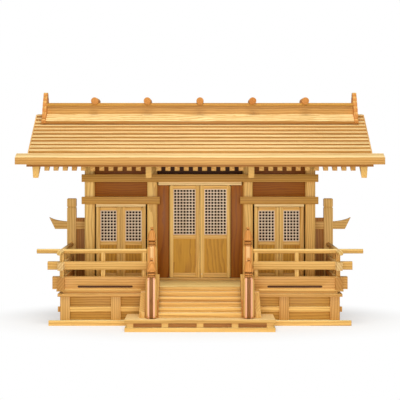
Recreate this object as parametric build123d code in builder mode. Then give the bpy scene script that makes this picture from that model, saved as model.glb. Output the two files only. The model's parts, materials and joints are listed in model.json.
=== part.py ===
from build123d import *
from math import cos, hypot, radians, sin
import os

# A three-door household shrine in pale cypress, 680 mm wide, built up piece by piece.
# X runs along the front, the front faces -Y, Z is height above the shelf it stands on.
# The origin is the middle of the footprint, on the shelf.

# Plan sizes, from front to back
eave_reach = 133.0              # level distance from the ridge line to the front face of an eave
platform_reach = 87.0           # how far the stair platform stands out before the front eave
rear_reach = 86.0               # the rear slope is shorter and stops flush with the back
base_setback = 74.3             # base board's front edge behind the platform's front edge
base_board_t = 7.0              # front to back, the posts stand behind it
column_line = 118.0             # front columns' faces behind the front eave
base_back_margin = 8.0          # base runs on behind the body
overall_depth = platform_reach + eave_reach + rear_reach + base_back_margin + base_board_t
eave_y = platform_reach - overall_depth / 2
ridge_y = eave_y + eave_reach
platform_y = eave_y - platform_reach
base_board_y = platform_y + base_setback
base_y = base_board_y + base_board_t
column_y = eave_y + column_line
body_back_y = ridge_y + rear_reach
base_back_y = body_back_y + base_back_margin

# Base and veranda
base_board_half = 276.4
base_board_h = 9.5
base_half = 256.0               # to the outer faces of the corner posts
base_post = 17.6
base_post_h = 42.9
base_beam_t = 5.2
base_beam_proud = 4.6           # over both sides together
veranda_lip = 4.0               # edge board in front of the eave line, beside the stair
base_gap_t = 3.9                # recessed board that makes the shadow line under the veranda
base_gap_inset = 4.0
base_panel_t = 4.0
base_panel_recess = 7.0
base_mid_rail_z = 14.8          # above the base board
base_mid_rail_h = 9.6
base_mid_rail_t = 5.0
base_mid_rail_poke = 4.5        # the side rails' ends poke past the corner posts
inner_post_x = 154.1            # centre of the second front post
veranda_half = 263.0
veranda_beam_t = 4.0
veranda_floor_t = 4.0
base_post_z = base_board_h
base_beam_z = base_post_z + base_post_h
base_gap_z = base_beam_z + base_beam_t
veranda_beam_z = base_gap_z + base_gap_t
kerb_z = veranda_beam_z + veranda_beam_t
floor_z = kerb_z + veranda_floor_t

# Stair and its platform
platform_half = 133.0
platform_foot_t = 7.3
platform_block_h = 8.2
platform_top_t = 6.3
platform_block_pitch = 61.8
platform_block_w = 12.0
platform_block_inset = 3.0
platform_top_z = platform_foot_t + platform_block_h + platform_top_t
stair_half = 108.0
riser_count = 6
tread_run = 12.0
tread_t = 3.6
tread_nose = 1.6
riser_t = 3.0
stringer_t = 8.0
stringer_x = 60.0
riser_h = (floor_z - platform_top_z) / riser_count
stair_y = eave_y - (riser_count - 1) * tread_run

# Newel posts with jewel caps
newel_x = 88.5
newel_w = 19.0
newel_chamfer = 4.2
newel_front_y = stair_y - tread_nose - newel_w
newel_rear_y = eave_y - 2.0     # front face of the upper newels
newel_front_h = 73.4
newel_rear_h = 79.5
neck_foot_r = 7.4
neck_r = 5.4
neck_h = 4.4                    # to the neck's narrowest
jewel_rim_z = 10.6              # above the shaft
jewel_rim_h = 1.4
jewel_r = 8.8
jewel_shoulder_z = 23.4
jewel_shoulder_r = 6.7
knob_z = 27.8
knob_neck_r = 2.3
knob_r = 3.2
knob_h = 6.4

# Railing
rail_x = 254.0                  # centre line of the side railings
rail_y = eave_y + 6.0           # centre line of the front railings
kerb_h = 22.9
kerb_t = 12.0
kerb_poke = 17.0                # what the ends stand out past the crossing
kerb_slot_half = 50.5
kerb_slot_h = 4.0
kerb_slot_z = 2.6
kerb_slot_depth = 5.0
kerb_slot_shift = 2.0           # towards the stair
mid_rail_z = 101.0
mid_rail_h = 15.0
mid_rail_t = 10.6
mid_rail_poke = 26.0
top_rail_z = 134.7
top_rail_r = 4.3
top_rail_poke = 46.0
rail_post_w = 7.6
rail_post_mid_x = 178.0
rail_post_end_x = 103.2
rail_side_posts = 2
stair_kerb_in = 74.0            # inner faces of the sloping kerbs
stair_kerb_foot = 10.0          # their front ends reach down to the platform
stair_kerb_h = 24.0
stair_rail_h = 12.0

# Body
column_w = 19.6
column_chamfer = 2.6
column_outer_x = 214.0
column_inner_x = 92.8
front_column_top = 352.0
rear_column_top = 296.0
sill_t = 3.8
beam_t = 6.0
upper_beam_half = 229.0
upper_beam_z = 259.5
upper_beam_h = 14.9
lower_beam_z = 216.6
lower_beam_h = 14.3
lower_beam_in = 77.7
side_head_drop = 5.3            # side door head shows below the lower beam
centre_head_drop = 6.2
wall_t = 8.0
partition_t = 6.0
panel_t = 4.0
ceiling_z = 275.0
sill_top = floor_z + sill_t

# Doors
door_t = 8.0
door_setback = 3.0              # leaf faces behind the columns' faces
seam = 0.7                      # between the two leaves of a pair
door_gap = 0.7                  # above a leaf
door_seat = 0.3                 # under a leaf
flank_gap = 0.7                 # beside the middle pair
centre_pair_half = 59.8
side_column_gap = 2.9           # dark gap beside the side pairs
centre_head_gap = 2.6           # dark gap at the ends of the middle door head
head_proud = 3.0                # door heads' lower edges in front of the columns
hole = 3.8
bar_x = 2.1
bar_z = 2.0
lattice_t = 3.0
centre_holes = (7, 15)
side_holes = (5, 10)
centre_top_rail = 6.9
side_top_rail = 6.6
centre_mid_rail = 8.0
side_mid_rail = 7.1
bottom_rail = 9.2
leaf_panel_t = 3.0
batten_half = 6.2
batten_proud = 1.6
pin_r = 1.6
pin_h = 3.0
pin_fit = 0.05

# Roof
pitch_rise = 0.667              # rise over run of both slopes
rafter_end = 6.0                # rafter ends behind the eave's face
rafter_end_z = 292.6            # top of a rafter at its end
rafter_h = 10.0
rafter_w = 9.2
rafter_pitch = 16.85
rafter_centre_count = 10
rafter_side_count = 11
rafter_side_x = 113.4
deep_rafter_x = 94.5
deep_rafter_w = 11.4
deep_rafter_h = 23.2
barge_x = 302.2
barge_w = 13.4
barge_taper = 1.8               # each side, towards the underside
deep_taper = 0.4
ridge_gap = 0.3                 # between the two slopes' ends at the ridge
under_board_half = 319.0
under_board_t = 5.5
under_board_y = 2.0
eave_half = 340.0
eave_face_top = 307.0
eave_top = 315.0
eave_w = 20.0
slab_half = 312.0
slab_t = 11.0
roof_half = 317.0
course_run = 10.27              # level distance from one course's edge to the next
course_rebate_h = 1.6           # shadow gap under each course's edge
course_rebate_depth = 1.4
course_edge = 6.4               # board thickness at a course's lower edge, upright
course_thin = 3.0
ridge_beam_inset = 3.0
ridge_half = 296.7
ridge_box_half = 15.0
ridge_box_top = 406.5
ridge_top_t = 6.0
ridge_top_proud = 3.0
cap_w = 20.0
cap_low_t = 5.2
cap_high_t = 6.5
log_r = 7.0
log_len = 55.0
log_pitch = 101.6
log_count = 5
log_z = 416.0
finial_t = 7.5
finial_tip_z = 433.0
finial_tip_half = 3.6
# cusps down one carved edge of a finial, out from the ridge and below the tip
finial_cusps = ((8.6, 7.7), (14.4, 16.3), (20.8, 27.5), (26.4, 39.0), (31.6, 51.0))
finial_bulge = 1.5
scroll_r = 4.4
scroll_y = 34.0

# Wing screens beside the body
wing_y = eave_y + 170.0         # centre of their thickness
wing_post_x = 254.0
wing_post_w = 18.0
wing_post_t = 12.0
wing_post_top = 225.8
wing_groove_z = 207.5
wing_beam_z = 165.2
wing_beam_h = 14.8
wing_beam_t = 8.0
wing_tip_x = 298.4
wing_tip_z = 188.3
wing_heel_x = 287.0
wing_rail_h = 7.4
wing_chamfer = 1.5
wing_groove = 1.2
wing_groove_h = 1.8
wing_panel_t = 4.0

os.makedirs("parts", exist_ok=True)
sides = {"left": -1, "right": 1}


def save(builder, name):
    builder.part.label = name
    export_step(builder.part, f"parts/{name}.step")


def block(x, y, z, mode=Mode.ADD):
    # a squared piece from its low and high bounds along each axis
    with Locations(((x[0] + x[1]) / 2, (y[0] + y[1]) / 2, (z[0] + z[1]) / 2)):
        Box(abs(x[1] - x[0]), abs(y[1] - y[0]), abs(z[1] - z[0]), mode=mode)


def both(s, near, far):
    # X bounds of a piece on side s, lowest first
    return (min(s * near, s * far), max(s * near, s * far))


def profile(points, x, mode=Mode.ADD):
    # a piece whose outline lies in the Y-Z plane, from x[0] to x[1]
    with BuildSketch(Plane.YZ.offset(x[0])) as outline:
        with BuildLine():
            Polyline(*points, close=True)
        make_face()
    extrude(outline.sketch, amount=x[1] - x[0], mode=mode)


def rafter_top(y):
    # height of the rafters' top line on both slopes
    run = eave_reach - rafter_end - abs(y - ridge_y)
    return rafter_end_z + pitch_rise * run


def roof_bottom(y):
    return rafter_top(y) + slab_t


def roof_nosing(y):
    # plane through the lower edges of the courses, which the ridge pieces stand on
    return roof_bottom(y) + course_edge


# Platform in front of the stair
with BuildPart() as platform_base:
    block((-platform_half, platform_half), (platform_y, base_board_y), (0, platform_foot_t))
    block_y = (platform_y + platform_block_inset, base_board_y)
    block_z = (platform_foot_t, platform_foot_t + platform_block_h)
    for i in range(-2, 3):
        x = i * platform_block_pitch
        block((x - platform_block_w / 2, x + platform_block_w / 2), block_y, block_z)
save(platform_base, "platform_base")

with BuildPart() as platform_top:
    block((-platform_half, platform_half), (platform_y, base_board_y),
          (platform_top_z - platform_top_t, platform_top_z))
save(platform_top, "platform_top")

# Base board, posts, rails and panels
base_middle_y = (base_y + base_back_y) / 2
with BuildPart() as base_board:
    # boards along the front and back run out past the plate that the posts stand on
    board_z = (0, base_board_h)
    for y in (base_board_y, base_back_y):
        block((-base_board_half, base_board_half), (y, y + base_board_t), board_z)
    block((-base_half, base_half), (base_y, base_back_y), board_z)
save(base_board, "base_board")

post_z = (base_post_z, base_beam_z)
with BuildPart() as base_posts:
    for s in sides.values():
        corner = both(s, base_half - base_post, base_half)
        inner = both(s, inner_post_x - base_post / 2, inner_post_x + base_post / 2)
        block(corner, (base_y, base_y + base_post), post_z)
        block(inner, (base_y, base_y + base_post), post_z)
        block(corner, (base_middle_y - base_post / 2, base_middle_y + base_post / 2), post_z)
        block(corner, (base_back_y - base_post, base_back_y), post_z)
        block(inner, (base_back_y - base_post, base_back_y), post_z)
save(base_posts, "base_posts")

panel_in = base_panel_recess + base_panel_t
panel_ys = ((base_y + base_panel_recess, base_y + panel_in),
            (base_back_y - panel_in, base_back_y - base_panel_recess))
middle_bay = inner_post_x - base_post / 2
with BuildPart() as base_panels:
    for y in panel_ys:
        block((-middle_bay, middle_bay), y, post_z)
    for s in sides.values():
        for y in panel_ys:
            block(both(s, inner_post_x + base_post / 2, base_half - base_post), y, post_z)
        side = both(s, base_half - panel_in, base_half - base_panel_recess)
        block(side, (base_y + base_post, base_middle_y - base_post / 2), post_z)
        block(side, (base_middle_y + base_post / 2, base_back_y - base_post), post_z)
save(base_panels, "base_panels")

rail_z = (base_post_z + base_mid_rail_z, base_post_z + base_mid_rail_z + base_mid_rail_h)
with BuildPart() as base_mid_rails:
    rail_in = base_panel_recess - base_mid_rail_t
    for s in sides.values():
        outer_bay = both(s, inner_post_x + base_post / 2, base_half - base_post)
        inner_bay = both(s, stair_half, inner_post_x - base_post / 2)
        for bay in (outer_bay, inner_bay):
            block(bay, (base_y + rail_in, base_y + base_panel_recess), rail_z)
        block(outer_bay, (base_back_y - base_panel_recess, base_back_y - rail_in), rail_z)
        side = both(s, base_half - base_panel_recess, base_half - rail_in)
        block(side, (base_y + base_post, base_middle_y - base_post / 2), rail_z)
        block(side, (base_middle_y + base_post / 2, base_back_y - base_post), rail_z)
        poke = both(s, base_half, base_half + base_mid_rail_poke)
        block(poke, (base_y + rail_in, base_y + base_panel_recess), rail_z)
save(base_mid_rails, "base_mid_rails")

with BuildPart() as base_beam:
    beam_half = base_half + base_beam_proud
    beam_y = (base_y - base_beam_proud / 2, base_back_y + base_beam_proud / 2)
    block((-beam_half, beam_half), beam_y, (base_beam_z, base_gap_z))
    inner_half = base_half - base_post
    block((-inner_half, inner_half), (base_y + base_post, base_back_y - base_post),
          (base_beam_z, base_gap_z), mode=Mode.SUBTRACT)
    gap_half = base_half - base_gap_inset
    block((-gap_half, gap_half), (base_y + base_gap_inset, base_back_y - base_gap_inset),
          (base_gap_z, veranda_beam_z))
save(base_beam, "base_beam")

# Veranda: an edge board all round, and the floor boards on it inside the kerbs
wing_foot_y = (wing_y - wing_post_t / 2, wing_y + wing_post_t / 2)
with BuildPart() as veranda_edge:
    block((-veranda_half, veranda_half), (eave_y, base_back_y), (veranda_beam_z, kerb_z))
    for s in sides.values():
        block(both(s, stair_half, veranda_half), (eave_y - veranda_lip, eave_y), (veranda_beam_z, kerb_z))
save(veranda_edge, "veranda_edge")

kerb_in = rail_x - kerb_t / 2
with BuildPart() as veranda_floor:
    block((-kerb_in, kerb_in), (rail_y + kerb_t / 2, base_back_y), (kerb_z, floor_z))
    stair_mouth = newel_x - newel_w / 2
    block((-stair_mouth, stair_mouth), (eave_y, rail_y + kerb_t / 2), (kerb_z, floor_z))
    for s in sides.values():
        foot = both(s, wing_post_x - wing_post_w / 2, wing_post_x + wing_post_w / 2)
        block(foot, wing_foot_y, (kerb_z, floor_z), mode=Mode.SUBTRACT)
        newel_foot = both(s, newel_x - newel_w / 2, newel_x + newel_w / 2)
        block(newel_foot, (newel_rear_y, newel_rear_y + newel_w), (kerb_z, floor_z), mode=Mode.SUBTRACT)
save(veranda_floor, "veranda_floor")

# Stair: treads on risers and sawn stringers, notched round the feet of the sloping kerbs
stair_slope = riser_h / tread_run
newel_side = newel_x + newel_w / 2
rails_front = newel_front_y + newel_w
rails_back = newel_rear_y


def pitch_line(y):
    # plane through the treads' noses
    return platform_top_z + riser_h + stair_slope * (y - (stair_y - tread_nose))


def stair_kerb(s, mode):
    foot_y = rails_front + stair_kerb_foot
    profile([(rails_front, platform_top_z), (foot_y, platform_top_z), (foot_y, pitch_line(foot_y)),
             (rails_back, pitch_line(rails_back)), (rails_back, pitch_line(rails_back) + stair_kerb_h),
             (rails_front, pitch_line(rails_front) + stair_kerb_h)],
            both(s, stair_kerb_in, newel_side), mode=mode)


with BuildPart() as stair_treads:
    for i in range(1, riser_count):
        top = platform_top_z + i * riser_h
        front = stair_y + (i - 1) * tread_run
        block((-stair_half, stair_half), (front - tread_nose, front + tread_run),
              (top - tread_t, top))
    for s in sides.values():
        stair_kerb(s, Mode.SUBTRACT)
    add(base_beam.part, mode=Mode.SUBTRACT)
save(stair_treads, "stair_treads")

saw = [(eave_y, platform_top_z), (stair_y + riser_t, platform_top_z)]
for i in range(1, riser_count):
    under = platform_top_z + i * riser_h - tread_t
    front = stair_y + (i - 1) * tread_run + riser_t
    saw.append((front, under))
    if i < riser_count - 1:
        saw.append((front + tread_run, under))
saw.append((eave_y, platform_top_z + (riser_count - 1) * riser_h - tread_t))
with BuildPart() as stair_carcase:
    for i in range(riser_count - 1):
        low = platform_top_z + i * riser_h
        front = stair_y + i * tread_run
        block((-stair_half, stair_half), (front, front + riser_t), (low, low + riser_h - tread_t))
    for x in (-stringer_x, 0, stringer_x):
        profile(saw, (x - stringer_t / 2, x + stringer_t / 2))
    for s in sides.values():
        profile(saw, both(s, stair_half - stringer_t, stair_half))
        stair_kerb(s, Mode.SUBTRACT)
    add(base_beam.part, mode=Mode.SUBTRACT)
save(stair_carcase, "stair_carcase")


def newel(base, front, shaft_h, s):
    # a chamfered square post with a hollow neck, a bell-shaped jewel and a knob
    x = s * newel_x
    y = front + newel_w / 2
    neck = base + shaft_h
    turned = [(0, -1), (neck_foot_r, -1), (neck_foot_r, 0), (neck_r, neck_h), (jewel_r, jewel_rim_z),
              (jewel_r, jewel_rim_z + jewel_rim_h), (jewel_shoulder_r, jewel_shoulder_z),
              (knob_neck_r, knob_z), (knob_r, knob_z + knob_h / 3), (knob_r, knob_z + 2 * knob_h / 3),
              (knob_neck_r, knob_z + knob_h), (0, knob_z + knob_h)]
    with BuildPart() as post:
        with BuildSketch(Plane.XY.offset(base)):
            with Locations((x, y)):
                Rectangle(newel_w, newel_w)
        extrude(amount=shaft_h)
        chamfer(post.edges().filter_by(Axis.Z), newel_chamfer)
        chamfer(post.faces().sort_by(Axis.Z)[-1].edges(), newel_chamfer / 3)
        with BuildSketch(Plane.XZ.offset(-y)):
            with BuildLine():
                Polyline(*[(x + r, neck + z) for r, z in turned], close=True)
            make_face()
        revolve(axis=Axis((x, y, 0), (0, 0, 1)))
    return post


with BuildPart() as lower_newels:
    for s in sides.values():
        add(newel(platform_top_z, newel_front_y, newel_front_h, s).part)
save(lower_newels, "lower_newels")

with BuildPart() as upper_newels:
    for s in sides.values():
        add(newel(kerb_z, newel_rear_y, newel_rear_h, s).part)
save(upper_newels, "upper_newels")

# Railings: a slotted kerb, a flat rail and a round rail on posts, crossing at the front corners
front_kerb_y = (rail_y - kerb_t / 2, rail_y + kerb_t / 2)
kerb_top = kerb_z + kerb_h
wing_front_y = wing_y - wing_post_t / 2


def rod(start, end, radius):
    # a round rail between two points
    way = Vector(*end) - Vector(*start)
    with BuildSketch(Plane(origin=start, z_dir=way)) as section:
        Circle(radius)
    extrude(section.sketch, amount=way.length)


def front_posts(s):
    # the little posts' centres along the front, from the corner to the newel
    return [(s * x, rail_y) for x in (rail_x, rail_post_mid_x, rail_post_end_x)]


def side_posts(s):
    step = (wing_front_y - rail_y) / (rail_side_posts + 1)
    return [(s * rail_x, rail_y + step * i) for i in range(1, rail_side_posts + 1)]


with BuildPart() as kerbs:
    for s in sides.values():
        block(both(s, newel_side, rail_x + kerb_poke), front_kerb_y, (kerb_z, kerb_top))
        block(both(s, rail_x - kerb_t / 2, rail_x + kerb_t / 2),
              (rail_y - kerb_poke, wing_front_y), (kerb_z, kerb_top))
        slot_x = s * ((rail_x + newel_side) / 2 - kerb_slot_shift)
        slot_z = kerb_z + kerb_slot_z + kerb_slot_h / 2
        with BuildSketch(Plane.XZ.offset(-front_kerb_y[0])):
            with Locations((slot_x, slot_z)):
                SlotOverall(2 * kerb_slot_half, kerb_slot_h)
        extrude(amount=-kerb_slot_depth, mode=Mode.SUBTRACT)
save(kerbs, "kerbs")

with BuildPart() as mid_rails:
    z = (mid_rail_z, mid_rail_z + mid_rail_h)
    for s in sides.values():
        block(both(s, newel_side, rail_x + mid_rail_poke),
              (rail_y - mid_rail_t / 2, rail_y + mid_rail_t / 2), z)
        block(both(s, rail_x - mid_rail_t / 2, rail_x + mid_rail_t / 2),
              (rail_y - mid_rail_poke, wing_front_y), z)
save(mid_rails, "mid_rails")

with BuildPart() as top_rails:
    for s in sides.values():
        rod((s * newel_side, rail_y, top_rail_z), (s * (rail_x + top_rail_poke), rail_y, top_rail_z),
            top_rail_r)
        rod((s * rail_x, rail_y - top_rail_poke, top_rail_z), (s * rail_x, wing_front_y, top_rail_z),
            top_rail_r)
save(top_rails, "top_rails")

with BuildPart() as rail_posts:
    for s in sides.values():
        for x, y in front_posts(s) + side_posts(s):
            px = (x - rail_post_w / 2, x + rail_post_w / 2)
            py = (y - rail_post_w / 2, y + rail_post_w / 2)
            block(px, py, (kerb_top, mid_rail_z))
            block(px, py, (mid_rail_z + mid_rail_h, top_rail_z))
    add(top_rails.part, mode=Mode.SUBTRACT)
save(rail_posts, "rail_posts")

# Sloping kerbs and rails of the stair, from the lower newels to the upper ones
with BuildPart() as stair_rails:
    low = mid_rail_z - stair_slope * (rails_back - rails_front)
    for s in sides.values():
        stair_kerb(s, Mode.ADD)
        profile([(rails_front, low), (rails_back, mid_rail_z), (rails_back, mid_rail_z + stair_rail_h),
                 (rails_front, low + stair_rail_h)],
                both(s, newel_x - mid_rail_t / 2, newel_x + mid_rail_t / 2))
save(stair_rails, "stair_rails")

# Wing screens that close the side verandas
wing_post_y = (wing_y - wing_post_t / 2, wing_y + wing_post_t / 2)
wing_wall_x = column_outer_x + wall_t / 2
wing_post_in = wing_post_x - wing_post_w / 2
wing_beam_top = wing_beam_z + wing_beam_h


def wing_outline(s):
    # the beam's raised tip, a hollow curve back to the post, and a straight underside
    tip = (s * wing_tip_x, wing_tip_z)
    shoulder = (s * (wing_post_x + wing_post_w / 2), wing_beam_top)
    with BuildSketch(Plane.XZ.offset(-(wing_y - wing_beam_t / 2))) as outline:
        with BuildLine():
            Polyline(shoulder, (s * wing_wall_x, wing_beam_top), (s * wing_wall_x, wing_beam_z),
                     (s * wing_heel_x, wing_beam_z), tip)
            Spline(tip, shoulder, tangents=((-s, -0.55), (-s, -0.08)))
        make_face()
    return outline.sketch


with BuildPart() as wing_beams:
    for s in sides.values():
        extrude(wing_outline(s), amount=-wing_beam_t)
save(wing_beams, "wing_beams")

with BuildPart() as wing_posts:
    for s in sides.values():
        block(both(s, wing_post_in, wing_post_in + wing_post_w), wing_post_y, (kerb_z, wing_post_top))
    chamfer(wing_posts.faces().group_by(Axis.Z)[-1].edges(), wing_chamfer)
    with BuildSketch(Plane.XY.offset(wing_groove_z)):
        with Locations((-wing_post_x, wing_y), (wing_post_x, wing_y)):
            Rectangle(wing_post_w + wing_groove, wing_post_t + wing_groove)
            Rectangle(wing_post_w - 2 * wing_groove, wing_post_t - 2 * wing_groove, mode=Mode.SUBTRACT)
    extrude(amount=wing_groove_h, mode=Mode.SUBTRACT)
    add(wing_beams.part, mode=Mode.SUBTRACT)
save(wing_posts, "wing_posts")

with BuildPart() as wing_panels:
    for s in sides.values():
        bay = both(s, wing_wall_x, wing_post_in)
        block(bay, (wing_y - wing_panel_t / 2, wing_y + wing_panel_t / 2), (floor_z, wing_beam_z))
        block(bay, (wing_y - wing_beam_t / 2, wing_y + wing_beam_t / 2),
              (wing_beam_top, wing_beam_top + wing_rail_h))
save(wing_panels, "wing_panels")

# Body: columns, walls, floor and ceiling
column_back_y = column_y + column_w
rear_column_y = body_back_y - column_w
column_places = [s * x for s in (-1, 1) for x in (column_outer_x, column_inner_x)]


with BuildPart() as columns:
    for front, top in ((column_y, front_column_top), (rear_column_y, rear_column_top)):
        with BuildSketch(Plane.XY.offset(floor_z)):
            with Locations(*[(x, front + column_w / 2) for x in column_places]):
                Rectangle(column_w, column_w)
        extrude(amount=top - floor_z)
    chamfer(columns.edges().filter_by(Axis.Z), column_chamfer)
save(columns, "columns")


def rafter_bottom(y):
    return rafter_top(y) - rafter_h


beam_reach = barge_x - barge_w / 2
beam_lo = column_y + ridge_beam_inset
beam_hi = 2 * ridge_y - beam_lo
with BuildPart() as roof_beams:
    profile([(beam_lo, front_column_top), (beam_hi, front_column_top), (beam_hi, rafter_bottom(beam_hi)),
             (ridge_y, rafter_bottom(ridge_y)), (beam_lo, rafter_bottom(beam_lo))],
            (-beam_reach, beam_reach))
    profile([(rear_column_y, rear_column_top), (body_back_y, rear_column_top),
             (body_back_y, rafter_bottom(body_back_y)), (rear_column_y, rafter_bottom(rear_column_y))],
            (-beam_reach, beam_reach))
save(roof_beams, "roof_beams")

with BuildPart() as gable_walls:
    start, end = column_back_y, rear_column_y
    for s in sides.values():
        profile([(start, floor_z), (end, floor_z), (end, rafter_bottom(end)),
                 (beam_hi, rafter_bottom(beam_hi)), (beam_hi, front_column_top),
                 (start, front_column_top)],
                both(s, column_outer_x - wall_t / 2, column_outer_x + wall_t / 2))
save(gable_walls, "gable_walls")

outer_bay = (column_inner_x + column_w / 2, column_outer_x - column_w / 2)
centre_bay = column_inner_x - column_w / 2
with BuildPart() as cell_walls:
    for s in sides.values():
        block(both(s, column_inner_x - partition_t / 2, column_inner_x + partition_t / 2),
              (column_back_y, rear_column_y), (floor_z, ceiling_z))
    mid = body_back_y - column_w / 2
    block((-centre_bay, centre_bay), (mid - panel_t / 2, mid + panel_t / 2), (floor_z, rear_column_top))
    for s in sides.values():
        block(both(s, *outer_bay), (mid - panel_t / 2, mid + panel_t / 2), (floor_z, rear_column_top))
save(cell_walls, "cell_walls")

# Floors and ceiling reach between the rear columns to the back walls
back_wall_y = body_back_y - column_w / 2 - panel_t / 2
with BuildPart() as cell_floors:
    inner = column_inner_x - partition_t / 2
    outer = (column_inner_x + partition_t / 2, column_outer_x - wall_t / 2)
    block((-inner, inner), (column_back_y, rear_column_y), (floor_z, sill_top))
    block((-centre_bay, centre_bay), (rear_column_y, back_wall_y), (floor_z, sill_top))
    for s in sides.values():
        block(both(s, *outer), (column_back_y, rear_column_y), (floor_z, sill_top))
        block(both(s, *outer_bay), (rear_column_y, back_wall_y), (floor_z, sill_top))
save(cell_floors, "cell_floors")

with BuildPart() as cell_ceiling:
    reach = column_outer_x - wall_t / 2
    ceiling = (ceiling_z, ceiling_z + panel_t)
    block((-reach, reach), (column_back_y, rear_column_y), ceiling)
    block((-centre_bay, centre_bay), (rear_column_y, back_wall_y), ceiling)
    for s in sides.values():
        block(both(s, *outer_bay), (rear_column_y, back_wall_y), ceiling)
save(cell_ceiling, "cell_ceiling")

# Front frame: beams across the columns, door heads, sills and the panels over the doors
with BuildPart() as upper_beam:
    block((-upper_beam_half, upper_beam_half), (column_y - beam_t, column_y),
          (upper_beam_z, upper_beam_z + upper_beam_h))
save(upper_beam, "upper_beam")

with BuildPart() as lower_beams:
    for s in sides.values():
        block(both(s, lower_beam_in, upper_beam_half), (column_y - beam_t, column_y),
              (lower_beam_z, lower_beam_z + lower_beam_h))
save(lower_beams, "lower_beams")

# Door leaves turn on pins at y = door_axis_y, set in the round of the hinge stile
door_y = (column_y + door_setback, column_y + door_setback + door_t)
door_axis_y = sum(door_y) / 2
centre_head_z = upper_beam_z - centre_head_drop
side_head_z = lower_beam_z - side_head_drop
leaf_z = sill_top + door_seat
centre_leaf_top = centre_head_z - door_gap
side_leaf_top = side_head_z - door_gap
side_pair = (outer_bay[0] + side_column_gap, outer_bay[1] - side_column_gap)
side_pair_mid = sum(side_pair) / 2
centre_leaf_w = centre_pair_half - seam / 2
side_leaf_w = (side_pair[1] - side_pair[0] - seam) / 2

# name, hinge edge, which way the leaf reaches from it, width, top, holes, top rail, mid rail
leaves = []
for side, s in sides.items():
    leaves.append((f"middle_{side}", s * centre_pair_half, -s, centre_leaf_w, centre_leaf_top,
                   centre_holes, centre_top_rail, centre_mid_rail))
    leaves.append((f"{side}_outer", s * side_pair[1], -s, side_leaf_w, side_leaf_top,
                   side_holes, side_top_rail, side_mid_rail))
    leaves.append((f"{side}_inner", s * side_pair[0], s, side_leaf_w, side_leaf_top,
                   side_holes, side_top_rail, side_mid_rail))


def pin_x(edge, way):
    return edge + way * door_t / 2


with BuildPart() as door_heads:
    centre_head = centre_bay - centre_head_gap
    block((-centre_bay, centre_bay), (column_y, column_back_y), (upper_beam_z, upper_beam_z + upper_beam_h))
    block((-centre_head, centre_head), (column_y - head_proud, column_back_y), (centre_head_z, upper_beam_z))
    for s in sides.values():
        block(both(s, *outer_bay), (column_y, column_back_y), (lower_beam_z, lower_beam_z + lower_beam_h))
        block(both(s, *side_pair), (column_y - head_proud, column_back_y), (side_head_z, lower_beam_z))
    for name, edge, way, width, top, *rest in leaves:
        with Locations((pin_x(edge, way), door_axis_y, top + door_gap + pin_h / 2)):
            Cylinder(pin_r + pin_fit, pin_h, mode=Mode.SUBTRACT)
save(door_heads, "door_heads")

with BuildPart() as door_sills:
    block((-centre_bay, centre_bay), (column_y, column_back_y), (floor_z, sill_top))
    for s in sides.values():
        block(both(s, *outer_bay), (column_y, column_back_y), (floor_z, sill_top))
    for name, edge, way, *rest in leaves:
        with Locations((pin_x(edge, way), door_axis_y, sill_top - pin_h / 2)):
            Cylinder(pin_r + pin_fit, pin_h, mode=Mode.SUBTRACT)
save(door_sills, "door_sills")

panel_y = (column_y + column_w / 2 - panel_t / 2, column_y + column_w / 2 + panel_t / 2)
with BuildPart() as front_panels:
    block((-centre_bay, centre_bay), panel_y, (upper_beam_z + upper_beam_h, front_column_top))
    for s in sides.values():
        block(both(s, *outer_bay), panel_y, (lower_beam_z + lower_beam_h, front_column_top))
        block(both(s, centre_pair_half + flank_gap, centre_bay), (door_axis_y - panel_t / 2,
              door_axis_y + panel_t / 2), (sill_top, centre_head_z))
save(front_panels, "front_panels")


def grid(count):
    # size of a lattice with that many holes, bars all round
    return count[0] * hole + (count[0] + 1) * bar_x, count[1] * hole + (count[1] + 1) * bar_z


for name, edge, way, width, top, count, top_rail_h, mid_rail_w in leaves:
    window_w, window_h = grid(count)
    x0, x1 = sorted((edge, edge + way * width))
    mid_x = (x0 + x1) / 2
    window_z = top - top_rail_h - window_h
    panel_z = (leaf_z + bottom_rail, window_z - mid_rail_w)
    window = (mid_x - window_w / 2, mid_x + window_w / 2)
    axis_x = pin_x(edge, way)
    with BuildPart() as leaf:
        block((x0, x1), door_y, (leaf_z, top))
        block(window, door_y, (window_z, window_z + window_h), mode=Mode.SUBTRACT)
        side_t = (door_t - leaf_panel_t) / 2
        block(window, (door_y[0], door_y[0] + side_t), panel_z, mode=Mode.SUBTRACT)
        block(window, (door_y[1] - side_t, door_y[1]), panel_z, mode=Mode.SUBTRACT)
        hinge_edges = leaf.edges().filter_by(Axis.Z).group_by(Axis.X)[0 if way > 0 else -1]
        fillet(hinge_edges, door_t / 2 - 0.01)
        meeting = (edge + way * (width - batten_half), edge + way * width)
        block((min(meeting), max(meeting)), (door_y[0] - batten_proud, door_y[0]), (leaf_z, top))
        for pin_z in (top + pin_h / 2, leaf_z - pin_h / 2):
            with Locations((axis_x, door_axis_y, pin_z)):
                Cylinder(pin_r, pin_h)
    save(leaf, f"door_{name}")

    with BuildPart() as lattice:
        with BuildSketch(Plane.XZ.offset(-(door_axis_y - lattice_t / 2))):
            with Locations((mid_x, window_z + window_h / 2)):
                Rectangle(window_w, window_h)
                with GridLocations(hole + bar_x, hole + bar_z, *count):
                    Rectangle(hole, hole, mode=Mode.SUBTRACT)
        extrude(amount=-lattice_t)
    save(lattice, f"lattice_{name}")

# Roof: rafters, bargeboards, eave boards, sheathing and stepped board courses
rafter_xs = [(i - (rafter_centre_count - 1) / 2) * rafter_pitch for i in range(rafter_centre_count)]
for i in range(rafter_side_count):
    rafter_xs += [rafter_side_x + i * rafter_pitch, -rafter_side_x - i * rafter_pitch]
slopes = {"front": (-1, eave_reach), "rear": (1, rear_reach)}   # direction and level reach


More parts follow.
